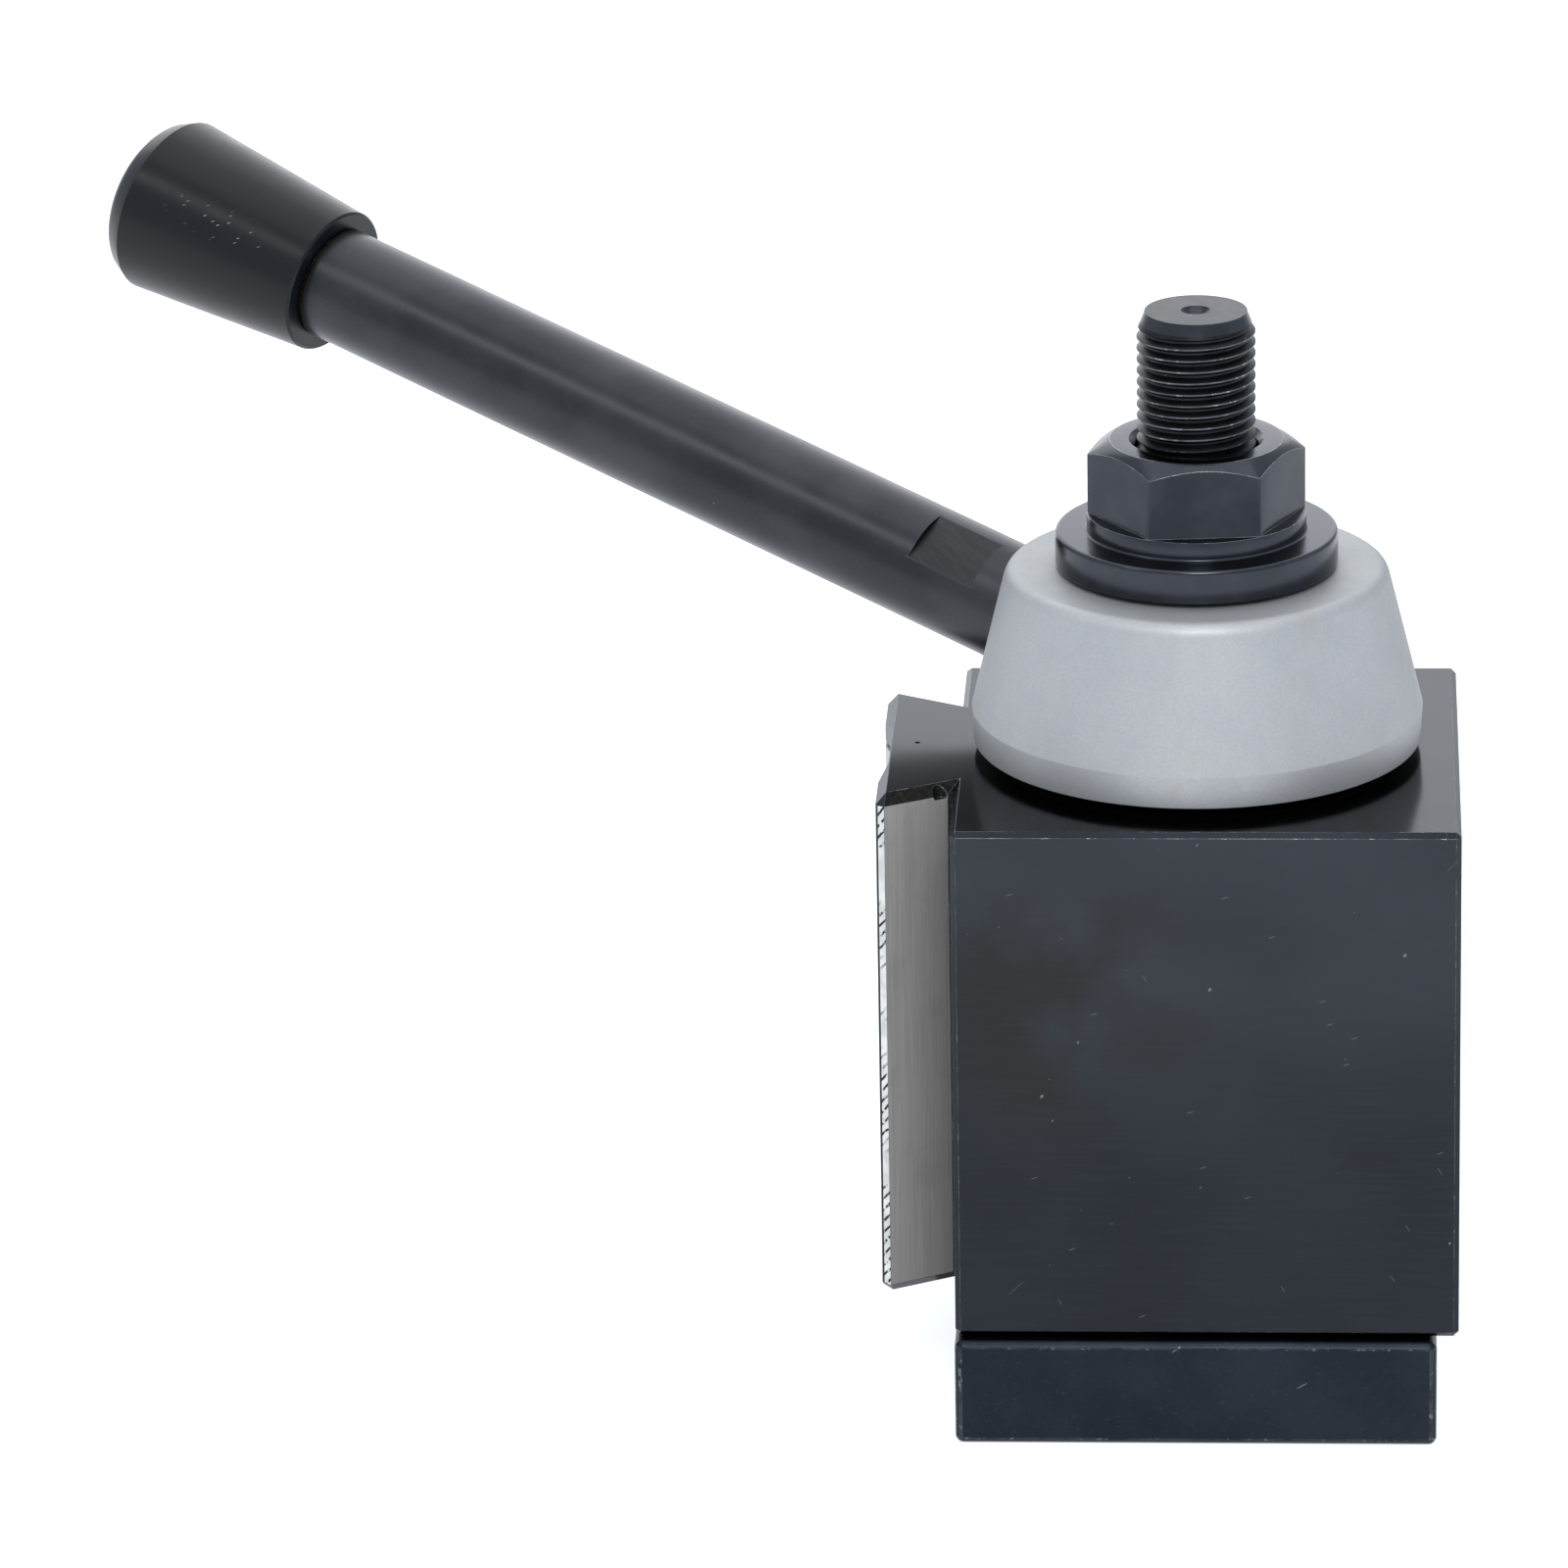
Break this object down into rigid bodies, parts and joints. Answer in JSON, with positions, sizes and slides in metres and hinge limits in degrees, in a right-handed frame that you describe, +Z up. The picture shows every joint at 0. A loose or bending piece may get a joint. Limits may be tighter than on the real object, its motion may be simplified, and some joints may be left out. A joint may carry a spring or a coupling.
{
  "type": "lathe tool post",
  "caption": "Square quick-change lathe tool post: steel block with male dovetails on its left and rear sides, wedge gibs worked by a lever on a conical hub, clamp stud, flanged nut and T-nut.",
  "frame": {"origin": "on the clamp stud's axis, at the underside of the T-nut", "axes": "+Z up along the clamp stud, -X out of the left dovetail, +Y out of the rear dovetail. The operator stands on the -Y side."},
  "size_m": [0.2162, 0.1584, 0.1674],
  "materials": {
    "blued_steel": "black oxide, satin, with mottled stains",
    "dark_blued_steel": "black oxide, oiled",
    "satin_steel": "fine satin, pale cool grey",
    "ground_steel": "bare, ground",
    "bronze": "machined",
    "brass": "machined",
    "black_phenolic": "polished",
    "rubber": "matte"
  },
  "bodies": {
    "base": {"t_nut": "blued_steel", "clamp_stud": "dark_blued_steel"},
    "post": {"post_body": "blued_steel", "centre_sleeve": "ground_steel", "bearing_ring": "ground_steel", "bearing_snap_ring": "dark_blued_steel", "lift_ring_guide_pin": "ground_steel", "hub_seal": "rubber", "upper_thrust_washer": "bronze", "lower_thrust_washer": "bronze"},
    "handle": {"clamp_hub": "satin_steel", "drive_screw": "ground_steel", "lever_arm": "dark_blued_steel", "lever_knob": "black_phenolic", "knob_insert": "brass", "hub_screw_1": "dark_blued_steel", "hub_screw_2": "dark_blued_steel", "hub_screw_3": "dark_blued_steel"},
    "lift": {"lift_ring": "ground_steel"},
    "gib_left": {"wedge_gib_left": "ground_steel"},
    "gib_rear": {"wedge_gib_rear": "ground_steel"},
    "top_nut": {"flanged_nut": "dark_blued_steel"}
  },
  "joints": [
    {"name": "post_swivel", "type": "hinge", "parent": "base", "child": "post", "pos_m": [0, 0, 0.0171], "axis": [0, 0, 1], "continuous": true},
    {"name": "nut_turn", "type": "hinge", "parent": "base", "child": "top_nut", "pos_m": [0, 0, 0.1277], "axis": [0, 0, 1], "continuous": true},
    {"name": "lever_turn", "type": "hinge", "parent": "post", "child": "handle", "pos_m": [0, 0, 0.0982], "axis": [0, 0, 1], "range_deg": [-10, 95]},
    {"name": "lift_slide", "type": "slide", "parent": "post", "child": "lift", "axis": [0, 0, 1], "range_m": [-0.0033, 0.0004]},
    {"name": "gib_left_slide", "type": "slide", "parent": "post", "child": "gib_left", "axis": [0, -0.1219, 0.9925], "range_m": [-0.0034, 0.0004]},
    {"name": "gib_rear_slide", "type": "slide", "parent": "post", "child": "gib_rear", "axis": [-0.1219, 0, 0.9925], "range_m": [-0.0034, 0.0004]}
  ],
  "couplings": [
    {"joint": "lift_slide", "follows": "lever_turn", "m_per_rad": -0.0019099},
    {"joint": "gib_left_slide", "follows": "lever_turn", "m_per_rad": -0.0019242},
    {"joint": "gib_rear_slide", "follows": "lever_turn", "m_per_rad": -0.0019242}
  ]
}
